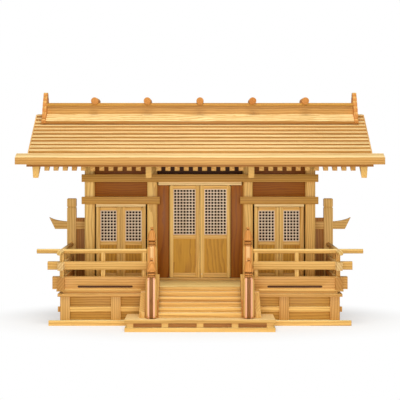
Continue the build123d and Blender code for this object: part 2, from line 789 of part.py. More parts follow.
def slope_outline(way, reach, low, high):
    # one slope's strip between two heights off the rafters' top line, cut upright at eave and ridge
    near = ridge_y + way * ridge_gap / 2
    far = ridge_y + way * reach
    return [(near, rafter_top(near) + low), (far, rafter_top(far) + low),
            (far, rafter_top(far) + high), (near, rafter_top(near) + high)]


def tapered_rafter(x, way, reach, run, width, taper):
    # a deep rafter whose underside is narrower, drawn up the slope from its end
    end = ridge_y + way * reach
    top = rafter_top(end)
    low_half = width / 2 - taper
    with BuildSketch(Plane.XZ.offset(-end)) as section:
        with BuildLine():
            Polyline((x - width / 2, top), (x + width / 2, top), (x + low_half, top - deep_rafter_h),
                     (x - low_half, top - deep_rafter_h), close=True)
        make_face()
    extrude(section.sketch, amount=run * hypot(1, pitch_rise), dir=(0, -way, pitch_rise))


with BuildPart() as rafters:
    for x in rafter_xs:
        for way, reach in slopes.values():
            profile(slope_outline(way, reach - rafter_end, -rafter_h, 0),
                    (x - rafter_w / 2, x + rafter_w / 2))
save(rafters, "rafters")

with BuildPart() as under_boards:
    for way, reach in slopes.values():
        near = ridge_y + way * (reach - under_board_y)
        far = ridge_y + way * (reach - eave_w)
        profile([(near, rafter_top(near)), (far, rafter_top(far)),
                 (far, rafter_top(far) + under_board_t), (near, rafter_top(near) + under_board_t)],
                (-under_board_half, under_board_half))
save(under_boards, "under_boards")

with BuildPart() as eave_boards:
    for way, reach in slopes.values():
        near = ridge_y + way * reach
        far = ridge_y + way * (reach - eave_w)
        lift = pitch_rise * (eave_reach - reach)
        profile([(near, rafter_top(near) + under_board_t), (far, rafter_top(far) + under_board_t),
                 (far, eave_top + lift), (near, eave_face_top + lift)], (-eave_half, eave_half))
save(eave_boards, "eave_boards")

with BuildPart() as sheathing:
    for way, reach in slopes.values():
        profile(slope_outline(way, reach - eave_w, 0, slab_t), (-slab_half, slab_half))
save(sheathing, "sheathing")

for slope, (way, reach) in slopes.items():
    # each course's edge stands over a shadow gap on the course below
    far = ridge_y + way * (reach - eave_w)
    count = round((reach - eave_w) / course_run)
    run = (reach - eave_w) / count
    steps = [(ridge_y, roof_bottom(ridge_y)), (far, roof_bottom(far))]
    for i in range(count):
        low = far - way * i * run
        inner = low - way * course_rebate_depth
        high = far - way * (i + 1) * run
        gap_z = roof_bottom(low) + course_thin
        steps += [(inner, gap_z), (inner, gap_z + course_rebate_h), (low, gap_z + course_rebate_h),
                  (low, roof_bottom(low) + course_edge), (high, roof_bottom(high) + course_thin)]
    with BuildPart() as courses:
        profile(steps, (-roof_half, roof_half))
    save(courses, f"roof_boards_{slope}")

# The deep rafters stop at the front beams
with BuildPart() as deep_rafters:
    reach = eave_reach - rafter_end
    for s in sides.values():
        run = reach - (ridge_y - (column_y - beam_t))
        tapered_rafter(s * deep_rafter_x, -1, reach, run, deep_rafter_w, deep_taper)
save(deep_rafters, "deep_rafters")

with BuildPart() as bargeboards:
    for s in sides.values():
        for way, reach in slopes.values():
            tapered_rafter(s * barge_x, way, reach - rafter_end, reach - rafter_end - ridge_gap / 2,
                           barge_w, barge_taper)
save(bargeboards, "bargeboards")

# Ridge: box, top board, sloping cap boards, round logs and crossed finials
box_y = (ridge_y - ridge_box_half, ridge_y + ridge_box_half)
with BuildPart() as ridge_box:
    profile([(box_y[0], roof_nosing(box_y[0])), (ridge_y, roof_nosing(ridge_y)),
             (box_y[1], roof_nosing(box_y[1])), (box_y[1], ridge_box_top), (box_y[0], ridge_box_top)],
            (-ridge_half, ridge_half))
save(ridge_box, "ridge_box")

with BuildPart() as ridge_top_board:
    block((-ridge_half, ridge_half), (box_y[0] - ridge_top_proud, box_y[1] + ridge_top_proud),
          (ridge_box_top, ridge_box_top + ridge_top_t))
save(ridge_top_board, "ridge_top_board")

with BuildPart() as cap_boards:
    for way, reach in slopes.values():
        high = ridge_y + way * ridge_box_half
        low = high + way * cap_w
        profile([(low, roof_nosing(low)), (high, roof_nosing(high)),
                 (high, roof_nosing(high) + cap_high_t), (low, roof_nosing(low) + cap_low_t)],
                (-ridge_half, ridge_half))
save(cap_boards, "cap_boards")

with BuildPart() as ridge_logs:
    for i in range(log_count):
        x = (i - (log_count - 1) / 2) * log_pitch
        rod((x, ridge_y - log_len / 2, log_z), (x, ridge_y + log_len / 2, log_z), log_r)
    add(ridge_top_board.part, mode=Mode.SUBTRACT)
save(ridge_logs, "ridge_logs")



def carved_edge(way):
    # the scalloped line from a finial's tip down to its scroll, as points and arcs between cusps
    cusps = [(ridge_y + way * finial_tip_half, finial_tip_z)]
    cusps += [(ridge_y + way * out, finial_tip_z - down) for out, down in finial_cusps]
    for start, end in zip(cusps, cusps[1:]):
        middle = Vector((start[0] + end[0]) / 2 + way * finial_bulge, (start[1] + end[1]) / 2 + finial_bulge / 2)
        ThreePointArc(start, middle, end)
    return cusps


with BuildPart() as finials:
    # a carved board at each end of the ridge, standing on the roof with a scroll at each foot
    for s in sides.values():
        with BuildSketch(Plane.YZ.offset(both(s, ridge_half, ridge_half + finial_t)[0])) as board:
            with BuildLine():
                front = carved_edge(-1)
                rear = carved_edge(1)
                Line(front[0], rear[0])
                Polyline(front[-1], (ridge_y, roof_bottom(ridge_y - eave_reach)), rear[-1])
            make_face()
            for way in (-1, 1):
                y = ridge_y + way * scroll_y
                with Locations((y, roof_nosing(y) + scroll_r)):
                    Circle(scroll_r)
        extrude(board.sketch, amount=finial_t)
    span = (ridge_y - eave_reach, ridge_y + eave_reach)
    profile([(span[0], roof_nosing(span[0])), (ridge_y, roof_nosing(ridge_y)),
             (span[1], roof_nosing(span[1])), (ridge_y, -eave_reach)],
            (-eave_half, eave_half), mode=Mode.SUBTRACT)
save(finials, "finials")
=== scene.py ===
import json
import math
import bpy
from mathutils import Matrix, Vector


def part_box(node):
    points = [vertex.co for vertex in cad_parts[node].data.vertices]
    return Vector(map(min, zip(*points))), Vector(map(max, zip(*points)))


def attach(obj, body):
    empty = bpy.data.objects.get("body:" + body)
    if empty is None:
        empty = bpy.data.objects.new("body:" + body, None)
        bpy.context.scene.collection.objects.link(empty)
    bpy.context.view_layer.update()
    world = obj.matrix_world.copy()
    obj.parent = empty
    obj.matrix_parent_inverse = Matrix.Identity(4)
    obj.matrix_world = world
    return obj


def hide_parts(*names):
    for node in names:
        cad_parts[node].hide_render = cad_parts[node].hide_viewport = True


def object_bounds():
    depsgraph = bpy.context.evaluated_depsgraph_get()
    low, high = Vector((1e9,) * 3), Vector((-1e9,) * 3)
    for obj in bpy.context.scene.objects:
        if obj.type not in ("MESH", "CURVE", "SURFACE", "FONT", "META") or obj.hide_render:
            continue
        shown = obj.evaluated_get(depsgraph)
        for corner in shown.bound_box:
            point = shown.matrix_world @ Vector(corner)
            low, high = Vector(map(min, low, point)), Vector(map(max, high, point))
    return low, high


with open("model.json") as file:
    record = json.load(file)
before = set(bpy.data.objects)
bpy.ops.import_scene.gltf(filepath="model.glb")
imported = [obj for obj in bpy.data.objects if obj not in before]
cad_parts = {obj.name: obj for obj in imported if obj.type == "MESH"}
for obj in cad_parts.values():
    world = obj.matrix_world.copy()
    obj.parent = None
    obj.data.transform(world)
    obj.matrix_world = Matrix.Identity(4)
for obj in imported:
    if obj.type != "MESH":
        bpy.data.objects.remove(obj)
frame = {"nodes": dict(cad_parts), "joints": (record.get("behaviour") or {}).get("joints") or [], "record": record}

# %% [markdown]
# A household shrine in pale cypress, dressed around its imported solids.
#
# The joinery is already right in the solids, so this lesson spends its time on two things that the solids
# lack. The first is the joiner's finish: every arris is eased by a plane stroke, the newels are turned, and
# the lattice is made of crossing bars. The second is the wood itself. Cypress is pale, with fine straight
# rings, and the same tree looks cream on top, honey on a standing face and orange on end grain. A photograph
# texture can't turn the corner of a board, so the wood here is a solid texture: a block of growth rings that
# every board is cut out of.

cad_low, cad_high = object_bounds()
nodes = frame["nodes"]
body_of_node = {node: body for body, names in frame["record"]["behaviour"]["bodies"].items()
                for node in names}
slot_of_node = {part["node"]: part["material_slot"] for part in frame["record"]["subparts"]}
roof_slope = 0.667                                  # rise over level run of both slopes
pitch = math.degrees(math.atan(roof_slope))
soft_under = math.radians(38)                       # faces that meet at less than this are shaded smooth
bpy.ops.object.select_all(action="DESELECT")
print("solids:", len(nodes), "nodes,", [round(v, 4) for v in cad_high - cad_low], "m")

# %% [markdown]
# The camera stands where the photographer stood. The eave boards show neither their undersides nor much of
# their tops, so the lens is level with the roof's lower edge, and it is shifted down a little to take in the
# stair, which keeps the columns upright in the picture.

# %% Camera
frame_px = 400
horizon_px = 155
mm_per_px_at_eave = 1.835
eye_distance = 2.1
eye_height = 0.3117
film_mm = 36

camera_data = bpy.data.cameras.new("camera")
camera = bpy.data.objects.new("camera", camera_data)
bpy.context.scene.collection.objects.link(camera)
camera.location = (0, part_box("eave_boards")[0][1] - eye_distance, eye_height)
camera.rotation_euler = (math.radians(90), 0, 0)
camera_data.sensor_width = film_mm
camera_data.lens = film_mm * eye_distance / (frame_px * mm_per_px_at_eave / 1000)
camera_data.shift_y = (horizon_px - frame_px / 2) / frame_px
bpy.context.scene.camera = camera
print("lens", round(camera_data.lens, 1), "mm, shift", round(camera_data.shift_y, 4))

# %% [markdown]
# Shader nodes read best as sums. A small class wraps one output socket, so that an expression such as
# 1 - mask * 0.3 adds the Math nodes it needs. Every other kind of node comes from one method, which sets
# the node's own options first and then feeds its sockets with numbers or links.

# %% A socket that can be added and multiplied
class Value:
    def __init__(self, tree, socket=None):
        self.tree = tree
        self.socket = socket

    def node(self, kind, output=0, settings=None, **sockets):
        made = self.tree.nodes.new(kind)
        for name, setting in (settings or {}).items():
            setattr(made, name, setting)
        for name, value in sockets.items():
            key = int(name[1:]) if name[1:].isdigit() else name.replace("_", " ")
            if isinstance(value, Value):
                self.tree.links.new(value.socket, made.inputs[key])
            else:
                made.inputs[key].default_value = value
        return Value(self.tree, made.outputs[output])

    def math(self, operation, other=None):
        sockets = {"i0": self} if other is None else {"i0": self, "i1": other}
        return self.node("ShaderNodeMath", settings={"operation": operation}, **sockets)

    def __add__(self, other):
        return self.math("ADD", other)

    def __mul__(self, other):
        return self.math("MULTIPLY", other)

    def __sub__(self, other):
        return self.math("SUBTRACT", other)

    def __rsub__(self, other):
        return self * -1 + other

    def __truediv__(self, other):
        return self.math("DIVIDE", other)

    __radd__ = __add__
    __rmul__ = __mul__

    def clamp(self, low=0.0, high=1.0):
        return self.math("MAXIMUM", low).math("MINIMUM", high)

    def band(self, low, high):
        # 0 below low, 1 above high, with a smooth slope between
        return self.node("ShaderNodeMapRange", settings={"interpolation_type": "SMOOTHSTEP"},
                         Value=self, From_Min=low, From_Max=high)

    def noise(self, x, y, z, scale, detail=3.0):
        place = self.node("ShaderNodeCombineXYZ", X=x, Y=y, Z=z)
        return self.node("ShaderNodeTexNoise", Vector=place, Scale=scale, Detail=detail, Roughness=0.55)

    def mix(self, first, second):
        # first where this value is 0, second where it is 1
        colours = [c if isinstance(c, Value) else (*c, 1) for c in (first, second)]
        return self.node("ShaderNodeMix", 2, {"data_type": "RGBA"}, i0=self, i6=colours[0], i7=colours[1])


def linear(red, green, blue):
    # a colour as a picture editor shows it, 0 to 255, as the light it stands for
    shares = [value / 255 for value in (red, green, blue)]
    return tuple(s / 12.92 if s <= 0.04045 else ((s + 0.055) / 1.055) ** 2.4 for s in shares)


print("middle grey is", round(linear(128, 128, 128)[0], 3), "as light")

# %% [markdown]
# A board is cut out of a log, so its figure is where the log's rings meet its faces. Each finish has a grain
# direction and a pith, the middle of its log, some way off to one side. The distance from the pith, bent by
# slow noise, runs up through the rings: early wood is pale, and late wood is a thin darker line at the end of
# each year. Fine fibres are noise drawn out a hundred times longer along the grain. Where a face looks along
# the grain it is end grain, which drinks light and is darker and more orange.
#
# Boards that share a node must not share a log, or a row of rafters would look like one plank. A finish steps
# its log by a cell number along a chosen axis, so each board gets its own cut and its own tone.
#
# Tops are painted paler than standing faces, a painted highlight of the light from above. The finish has a
# colour for tops and one for standing faces, and the normal chooses between them.

# %% Cypress, for any grain
AXES = {"X": 0, "Y": 1, "Z": 2}
ridge_y = sum(corner[1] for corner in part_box("ridge_box")) / 2
late_wood, year_end = (0.30, 0.92), (0.95, 1.0)     # shares of a year where the ring darkens and breaks off
slow_bend, quick_bend = 0.034, 0.005                # how far noise bends the rings, in metres
log_spread = (0.08, 0.05)                           # how far apart the piths of two boards' logs lie
fibre_scale = 700.0
relief_depth = 0.0002
planed_gloss = 0.18


def cypress(name, grain, face, top=None, ring=0.0046, pith=(0.04, 0.05), figure=1.0, cell=None,
            tone=0.06, dark=0.66, end=0.8, rough=0.5, rake=0.0, mirrored=False, contrast=1.0):
    """face and top are colours of early wood, 0 to 255, and top goes on upward faces as a painted highlight of
    the light from above; ring is a year's growth in metres; cell is (axis, size, start) of boards that share a
    node, and tone is how far they differ; dark is late wood's share of early wood; rake is a slope in degrees
    that the grain climbs along Y, mirrored at the ridge or not."""
    material = bpy.data.materials.new(name)
    material.use_nodes = True
    tree = material.node_tree
    tree.nodes.clear()
    start = Value(tree)
    place = start.node("ShaderNodeTexCoord", "Object")
    normal = start.node("ShaderNodeTexCoord", "Normal")
    x, y, z = [start.node("ShaderNodeSeparateXYZ", i, i0=place) for i in range(3)]
    facing = [start.node("ShaderNodeSeparateXYZ", i, i0=normal) for i in range(3)]
    if mirrored:
        y = (y - ridge_y).math("ABSOLUTE")
    if rake:
        lean, rise = math.cos(math.radians(rake)), math.sin(math.radians(rake))
        y, z = y * lean + z * rise, z * lean - y * rise
    axes = [x, y, z]
    along = axes[AXES[grain]]
    across, up = [axes[i] for i in range(3) if i != AXES[grain]]
    chance = along * 0.0 + 0.5
    if cell:
        axis, size, first = cell
        number = ((axes[AXES[axis]] - first) / size).math("FLOOR")
        chance = start.node("ShaderNodeTexWhiteNoise", 0, {"noise_dimensions": "1D"}, W=number + 0.37)
    shift = chance - 0.5
    sway = start.noise(across * 8 + shift * 31, up * 8 + shift * 17, along * 2.4, 1.0, 2.0)
    warp = start.noise(across * 60 + shift * 9, up * 60, along * 14, 1.0)
    a = across + shift * log_spread[0] + (sway - 0.5) * (slow_bend * figure) + pith[0]
    b = up + shift * log_spread[1] + (warp - 0.5) * (quick_bend * figure) + pith[1]
    year = ((a * a + b * b).math("SQRT") / ring).math("FRACT")
    late = year.band(*late_wood) * (1 - year.band(*year_end))
    fibre = start.noise(across, up, along * 0.02 + shift, fibre_scale)
    cloud = start.noise(across * 14, up * 14, along * 4 + shift * 5, 1.0)
    rings = ((late * 0.7 + (fibre - 0.5) * 0.9 + (cloud - 0.5) * 0.9) * contrast + 0.1).clamp()
    face, top = linear(*face), linear(*(top or face))
    # upward faces take the top colour, a painted highlight of the light from above
    painted_top_light = facing[2].band(0.35, 0.8)
    early_colour = painted_top_light.mix(face, top)
    late_colour = painted_top_light.mix(*[tuple(c * dark ** p for c, p in zip(colour, (1.0, 1.5, 2.4)))
                              for colour in (face, top)])
    colour = rings.mix(early_colour, late_colour)
    grain_end = facing[AXES[grain]].math("ABSOLUTE").band(0.7, 0.95)
    orange = tuple(c * end ** p for c, p in zip(face, (1.0, 1.5, 2.2)))
    colour = (grain_end * (0.55 + 0.45 * late)).mix(colour, orange)
    level = shift * (2 * tone) + (cloud - 0.5) * 0.08 + 1.0
    tint = start.node("ShaderNodeCombineXYZ", X=level, Y=level * level, Z=level * level * level)
    colour = start.node("ShaderNodeVectorMath", 0, {"operation": "MULTIPLY"}, i0=colour, i1=tint)
    relief = start.node("ShaderNodeBump", 0, Strength=0.25, Distance=relief_depth,
                        Height=late * 0.6 + fibre * 0.4)
    gloss = (rough - late * 0.1 + grain_end * 0.15 + (fibre - 0.5) * 0.1).clamp(0.2, 0.95)
    shader = start.node("ShaderNodeBsdfPrincipled", 0, Base_Color=colour, Roughness=gloss, Normal=relief,
                        Specular_IOR_Level=planed_gloss)
    output = tree.nodes.new("ShaderNodeOutputMaterial")
    tree.links.new(shader.socket, output.inputs["Surface"])
    return material


print("grain may run along", sorted(AXES))

# %% [markdown]
# A plane leaves no knife edge. Each solid is copied, its loose triangles are joined into flat faces again,
# and a narrow bevel with two segments rounds every arris by a few tenths of a millimetre. That thin rounding
# is what catches the light along each board. The copy then stands for the solid and moves with its body.

# %% Easing the arrises of a solid
def settle(piece, node, finish):
    # the piece stands for a solid: it takes its body and, where it has none yet, its finish
    if finish:
        piece.data.materials.clear()
        piece.data.materials.append(finish)
    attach(piece, body_of_node[node])
    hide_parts(node)
    return piece


def only(piece):
    bpy.ops.object.select_all(action="DESELECT")
    piece.select_set(True)
    bpy.context.view_layer.objects.active = piece


def joined_copy(node, name):
    # a copy of a solid's mesh with its triangles merged back into whole faces
    piece = bpy.data.objects.new(name, nodes[node].data.copy())
    bpy.context.scene.collection.objects.link(piece)
    only(piece)
    bpy.ops.object.mode_set(mode="EDIT")
    bpy.ops.mesh.select_all(action="SELECT")
    bpy.ops.mesh.remove_doubles(threshold=0.000002)
    bpy.ops.mesh.dissolve_limited(angle_limit=math.radians(0.5))
    bpy.ops.object.mode_set(mode="OBJECT")
    return piece


def round_arrises(piece, width, segments=2, sharper_than=25):
    bevel = piece.modifiers.new("arris", "BEVEL")
    bevel.width = width
    bevel.segments = segments
    bevel.limit_method = "ANGLE"
    bevel.angle_limit = math.radians(sharper_than)
    bevel.use_clamp_overlap = True
    bevel.harden_normals = False
    only(piece)
    bpy.ops.object.modifier_apply(modifier="arris")
    bpy.ops.object.shade_smooth_by_angle(angle=soft_under)


def eased(node, finish, width=0.0004):
    piece = joined_copy(node, "planed_" + node)
    round_arrises(piece, width)
    return settle(piece, node, finish)


print("bodies:", sorted(set(body_of_node.values())))

# %% [markdown]
# The joiner picks the wood board by board. Roof and ridge boards are flat-sawn and cream, the frame is
# quarter-sawn and honey, posts and newels are a rosier piece of heartwood, and the lattice is the palest.
# A shade is what a board shows in full light, except the darkest few, which are painted shade for the
# inside of the cells, the hollow under the roof and the grooves, and a few paler ones on boards in shadow,
# which are painted light. Boards that share a node stand in a row, and each row is given as its axis, the
# step from board to board, and where it starts.

# %% Finishes of the base, stair and veranda
# shades of planed cypress, from the darkest inside the cells to the palest on the lattice; the first
# three on the next line are painted shade, for the cells, under the roof and in the grooves
cell_shade_dark, umber, deep_shade_brown, russet = (60, 40, 20), (80, 45, 15), (105, 60, 25), (140, 90, 40)
recess_wood_and_shade, ochre, toffee = (155, 90, 15), (175, 120, 55), (200, 145, 45)
amber, copper, tan = (200, 150, 70), (215, 150, 80), (210, 160, 90)
honey, straw, rosy, blush = (220, 175, 100), (235, 190, 110), (230, 180, 120), (245, 185, 150)
wheat, cream, pale, ivory = (235, 205, 135), (245, 215, 155), (245, 230, 165), (250, 230, 205)
post_row, column_row = ("X", 0.0881, -0.2997), ("X", 0.0881, -0.2643)
tread_row, riser_row = ("Z", 0.0079, 0.0178), ("Z", 0.0079, 0.0218)
floor_row, rail_post_row = ("Y", 0.042, 0.0), ("X", 0.075, 0.0)
left_and_right = ("X", 0.5, -0.5)
stair_rake = 33.2
newel_ring, newel_pith = 0.003, (0.1, 0.07)
finishes = {
    "base_board": cypress("base_board_wood", "X", straw, pale, figure=0.6, pith=(0.02, 0.06)),
    "base_posts": cypress("base_post_wood", "Z", tan, cell=post_row),
    "base_panels": cypress("base_panel_wood", "X", amber, figure=1.4),
    "base_mid_rails": cypress("base_rail_wood", "X", straw, wheat),
    "base_beam": cypress("base_beam_wood", "X", tan, wheat),
    "platform_base": cypress("platform_base_wood", "X", straw, pale),
    "platform_top": cypress("platform_top_wood", "X", honey, cream, figure=0.8),
    "stair_treads": cypress("tread_wood", "X", straw, cream, contrast=0.6, cell=tread_row),
    "stair_carcase": cypress("riser_wood", "X", honey, cell=riser_row),
    "veranda_edge": cypress("veranda_edge_wood", "X", honey, wheat),
    "veranda_floor": cypress("veranda_floor_wood", "X", honey, wheat, cell=floor_row),
    "kerbs": cypress("kerb_wood", "X", tan, wheat, figure=0.7),
    "mid_rails": cypress("mid_rail_wood", "X", honey, wheat, figure=0.7),
    "top_rails": cypress("top_rail_wood", "X", honey, wheat),
    "rail_posts": cypress("rail_post_wood", "Z", honey, cell=rail_post_row),
    "stair_rails": cypress("stair_rail_wood", "Y", copper, honey, rake=stair_rake),
    "lower_newels": cypress("lower_newel_wood", "Z", russet, figure=3.0, pith=(0.02, 0.03),
                            cell=left_and_right, ring=newel_ring),
    "upper_newels": cypress("upper_newel_wood", "Z", rosy, pith=(0.1, 0.1), cell=left_and_right,
                            ring=newel_ring),
}
print(len(finishes), "finishes below the doors")

# %% Finishes of the body and the doors
gable_row, cell_wall_row = ("Y", 0.03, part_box("gable_walls")[0][1]), ("X", 0.04, 0.0)
back_row, leaf_row = ("X", 0.07, 0.0), ("X", 0.0598, 0.0)
finishes |= {
    "wing_beams": cypress("wing_beam_wood", "X", honey),
    "wing_posts": cypress("wing_post_wood", "Z", honey, cell=left_and_right),
    "wing_panels": cypress("wing_panel_wood", "Z", ochre),
    "columns": cypress("column_wood", "Z", straw, figure=1.7, cell=column_row, pith=(0.06, 0.04)),
    # the roof beams are painted dark brown, painted shade under the roof; their rear and ends keep the honey
    "roof_beams": cypress("roof_beam_wood", "X", umber),
    "gable_walls": cypress("gable_wall_wood", "Z", copper, cell=gable_row, figure=1.2),
    # the inside of the cells is painted near black, painted shade of the closed cells
    "cell_walls": cypress("cell_wall_wood", "Z", cell_shade_dark, cell=cell_wall_row, figure=1.2),
    "cell_floors": cypress("cell_floor_wood", "X", cell_shade_dark),
    "cell_ceiling": cypress("cell_ceiling_wood", "X", cell_shade_dark),
    "upper_beam": cypress("upper_beam_wood", "X", amber, honey, figure=0.6),
    "lower_beams": cypress("lower_beam_wood", "X", amber, honey, figure=0.6),
    # the door heads are given a pale cream, painted light on a strip that stands in shade under the beam
    "door_heads": cypress("door_head_lit_wood", "X", cream),
    "door_sills": cypress("door_sill_wood", "X", honey, cream),
    # the front panels are a dark brown, partly the wood's own and partly painted shade of their recess
    "front_panels": cypress("front_panel_wood", "X", recess_wood_and_shade, figure=2.2),
}
newel_facet_light = {"lower_newels": cypress("lower_edge_wood", "Z", blush, ring=newel_ring, pith=newel_pith),
               "upper_newels": cypress("upper_edge_wood", "Z", copper, ring=newel_ring, pith=newel_pith)}
newel_side_light_and_shade = cypress("newel_side_light_and_shade", "Z", honey, pith=newel_pith)
jewel_wood = cypress("jewel_wood", "Z", copper, ring=newel_ring, pith=newel_pith)
back_wood = cypress("back_wood", "Z", honey, figure=1.8, cell=back_row)
purlin_wood = cypress("purlin_wood", "X", honey)
gable_edge_wood = cypress("gable_edge_wood", "Y", honey, rake=-pitch, mirrored=True)
cap_edge_shade_wood = cypress("cap_edge_shade_wood", "X", ochre)
neck_shade_wood = cypress("neck_shade_wood", "Z", russet, ring=newel_ring)
groove_shade_wood = cypress("groove_shade_wood", "X", deep_shade_brown)
under_board_edge_wood = cypress("under_board_edge_wood", "X", ochre)
shadow_line_wood = cypress("shadow_line_wood", "X", ochre)
attic_shade_wood = cypress("attic_shade_wood", "X", umber)
flank_wood = cypress("flank_wood", "Z", recess_wood_and_shade, figure=2.0, pith=(0.03, 0.05))
door_rail_wood = cypress("door_rail_wood", "X", straw, pith=(0.03, 0.06))
door_wood = cypress("door_wood", "Z", straw, pith=(0.03, 0.06), cell=leaf_row)
# the door panels are painted darker than their frames, painted shade of the recess
door_panel_shade_wood = cypress("door_panel_shade_wood", "Z", toffee, figure=2.6, pith=(0.02, 0.04), cell=leaf_row)
door_woods = {"panel": door_panel_shade_wood, "rail": door_rail_wood, "stile": door_wood}
lattice_wood = cypress("lattice_wood", "Z", ivory, contrast=0.5)
for node in nodes:
    if node.startswith("door_") and node in slot_of_node and slot_of_node[node] == "door_cypress":
        finishes[node] = door_wood
    if node.startswith("lattice_"):
        finishes[node] = lattice_wood
print(len(finishes), "nodes have a finish")

# %% Finishes of the roof and ridge
rafter_row, log_row = ("X", 0.01685, -0.2948), ("X", 0.1016, -0.254)
course_run = 0.01027
front_courses = ("Y", course_run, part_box("roof_boards_front")[0][1])
rear_courses = ("Y", course_run, ridge_y)
finial_rake = -42
finishes |= {
    # rafters are painted ochre, painted shade under the roof, and end=1.6 paints their ends paler, painted light
    "rafters": cypress("rafter_wood", "Y", ochre, rake=-pitch, mirrored=True,
                       cell=rafter_row, end=1.6),
    "deep_rafters": cypress("deep_rafter_wood", "Y", honey, rake=-pitch, mirrored=True, end=0.9),
    "bargeboards": cypress("bargeboard_wood", "Y", straw, rake=-pitch, mirrored=True, end=0.9),
    # the boards under the eave are painted dark brown, painted shade under the roof
    "under_boards": cypress("under_board_wood", "X", umber),
    "eave_boards": cypress("eave_board_wood", "X", tan, cream, figure=0.7),
    # the sheathing is painted dark brown, painted shade under the roof
    "sheathing": cypress("sheathing_wood", "X", deep_shade_brown),
    "roof_boards_front": cypress("front_roof_wood", "X", tan, cream, cell=front_courses, tone=0.05),
    "roof_boards_rear": cypress("rear_roof_wood", "X", tan, cream, cell=rear_courses, tone=0.05),
    "ridge_box": cypress("ridge_box_wood", "X", tan, figure=1.3, pith=(0.01, 0.03)),
    "ridge_top_board": cypress("ridge_top_wood", "X", amber, wheat),
    "cap_boards": cypress("cap_board_wood", "X", honey, cream, figure=2.4, contrast=1.8),
    "ridge_logs": cypress("ridge_log_wood", "Y", copper, honey, ring=0.0013, pith=(0.0, -0.416),
                          cell=log_row, end=0.72, dark=0.45),
    "finials": cypress("finial_wood", "Y", copper, honey, rake=finial_rake, mirrored=True),
}
print(len(finishes), "of", len(nodes), "nodes have a finish")

# %% Every solid eased and finished
def along_the_side(name, face, top):
    # the same wood with its grain running front to back, for what turns the corner
    return cypress(name, "Y", face, top, figure=0.7, end=0.66)


# each side wood goes to the faces whose distance from the middle of the shrine is this, give or take that
rail_x = 0.254
side_woods = {
    "kerbs": (along_the_side("side_kerb_wood", tan, cream), rail_x, 0.0066),
    # the side rails are paler than the front rails, painted light on their inner faces that stand in shade
    "mid_rails": (along_the_side("side_mid_rail_lit_wood", cream, cream), rail_x, 0.0058),
    "top_rails": (along_the_side("side_top_rail_lit_wood", wheat, cream), rail_x, 0.0046),
    "base_panels": (along_the_side("side_panel_wood", amber, cream), 0.249, 0.004),
    "base_mid_rails": (along_the_side("side_base_rail_wood", tan, cream), 0.256, 0.004),
    "base_beam": (along_the_side("side_base_beam_wood", honey, cream), 0.2606, 0.001),
    "base_board": (along_the_side("side_base_board_wood", honey, cream), 0.256, 0.001),
    "veranda_edge": (along_the_side("side_edge_wood", honey, cream), 0.263, 0.001),
}


def refinish(piece, finish, chosen):
    # gives the faces whose middles are chosen a finish of their own
    piece.data.materials.append(finish)
    for face in piece.data.polygons:
        if chosen(face):
            face.material_index = len(piece.data.materials) - 1


groove_near, groove_far, groove_end = 0.0006, 0.0055, 0.235
course_length = 2 * cad_high.x * 0.932
strip_low, strip_high = 0.0009, 0.0018
square_on = 0.9                                     # a face looks along an axis when its normal passes this


def in_groove(face, front):
    # the slot's inner faces lie just behind the kerb's front face
    return groove_near < face.center.y - front < groove_far and abs(face.center.x) < groove_end


def in_shadow_line(face):
    # the strips under each course's edge, which are narrower than the edge and wider than its arris
    return strip_low < face.area / course_length < strip_high


modelled_anew = {node for node in finishes if body_of_node[node] != "root" or node.endswith("_newels")}
for node in sorted(set(finishes) - modelled_anew):
    piece = eased(node, finishes[node])
    if node in side_woods:
        wood, middle, half = side_woods[node]
        refinish(piece, wood, lambda face: abs(abs(face.center.x) - middle) <= half)
    if node == "front_panels":
        # below the upper beam the walls take the flank brown, partly painted shade of the recess
        refinish(piece, flank_wood, lambda face: face.center.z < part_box("upper_beam")[0][2])
        # the wall above the upper beam in the middle bay is painted dark, painted shade under the roof
        refinish(piece, attic_shade_wood, lambda face: face.center.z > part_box("upper_beam")[1][2]
                 and abs(face.center.x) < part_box("door_middle_right")[1][0])
    if node == "cell_walls":
        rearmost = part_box(node)[1][1] - 0.001
        refinish(piece, back_wood, lambda face: face.normal.y > square_on and face.center.y > rearmost)
    if node == "cap_boards":
        # the cap boards' standing edges are painted darker, painted shade on faces turned from the light
        refinish(piece, cap_edge_shade_wood, lambda face: abs(face.normal.y) > square_on)
    if node == "roof_beams":
        # the rear and the ends take honey, and the rest keeps the painted shade
        refinish(piece, purlin_wood, lambda face: face.center.y > ridge_y or abs(face.normal.x) > square_on)
    if node == "under_boards":
        # their front and back edges are painted a less dark brown, still painted shade under the roof
        refinish(piece, under_board_edge_wood, lambda face: abs(face.normal.y) > 0.7)
    if node in ("sheathing", "under_boards"):
        refinish(piece, gable_edge_wood, lambda face: abs(face.normal.x) > square_on)
    if node == "kerbs":
        rail_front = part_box("upper_newels")[0][1] + 0.002
        # the slot's inner faces are painted dark, painted shade inside the slot
        refinish(piece, groove_shade_wood, lambda face: in_groove(face, rail_front))
    if node.startswith("roof_boards_"):
        # the strips under each course's edge are painted darker, painted shade under the edge
        refinish(piece, shadow_line_wood, in_shadow_line)
print("planed", len(finishes) - len(modelled_anew), "pieces")

# %% [markdown]
# The doors are joinery, so they are made again as joinery. A leaf is two stiles, three rails and a panel
# between them, half a batten on its meeting edge and a pin at its head and foot. The bars are bevelled, the
# stile that carries the pins is rounded, and the panel's two faces are inset, which leaves a groove round
# them, painted dark as a painted shadow line. The panel is painted a darker brown than its frame, painted
# shade of its recess. Everything is measured off the solid leaf and the solid lattice in it.
#
# The lattice is bars let into each other, upright bars in front and level bars behind. One bar of each kind
# is modelled and copied along the window, and every hole is left open to the dark cell.

# %% Modelling helpers
def edit(piece, act):
    # runs one edit-mode step on the whole mesh
    only(piece)
    bpy.ops.object.mode_set(mode="EDIT")
    bpy.ops.mesh.select_all(action="SELECT")
    act()
    bpy.ops.object.mode_set(mode="OBJECT")


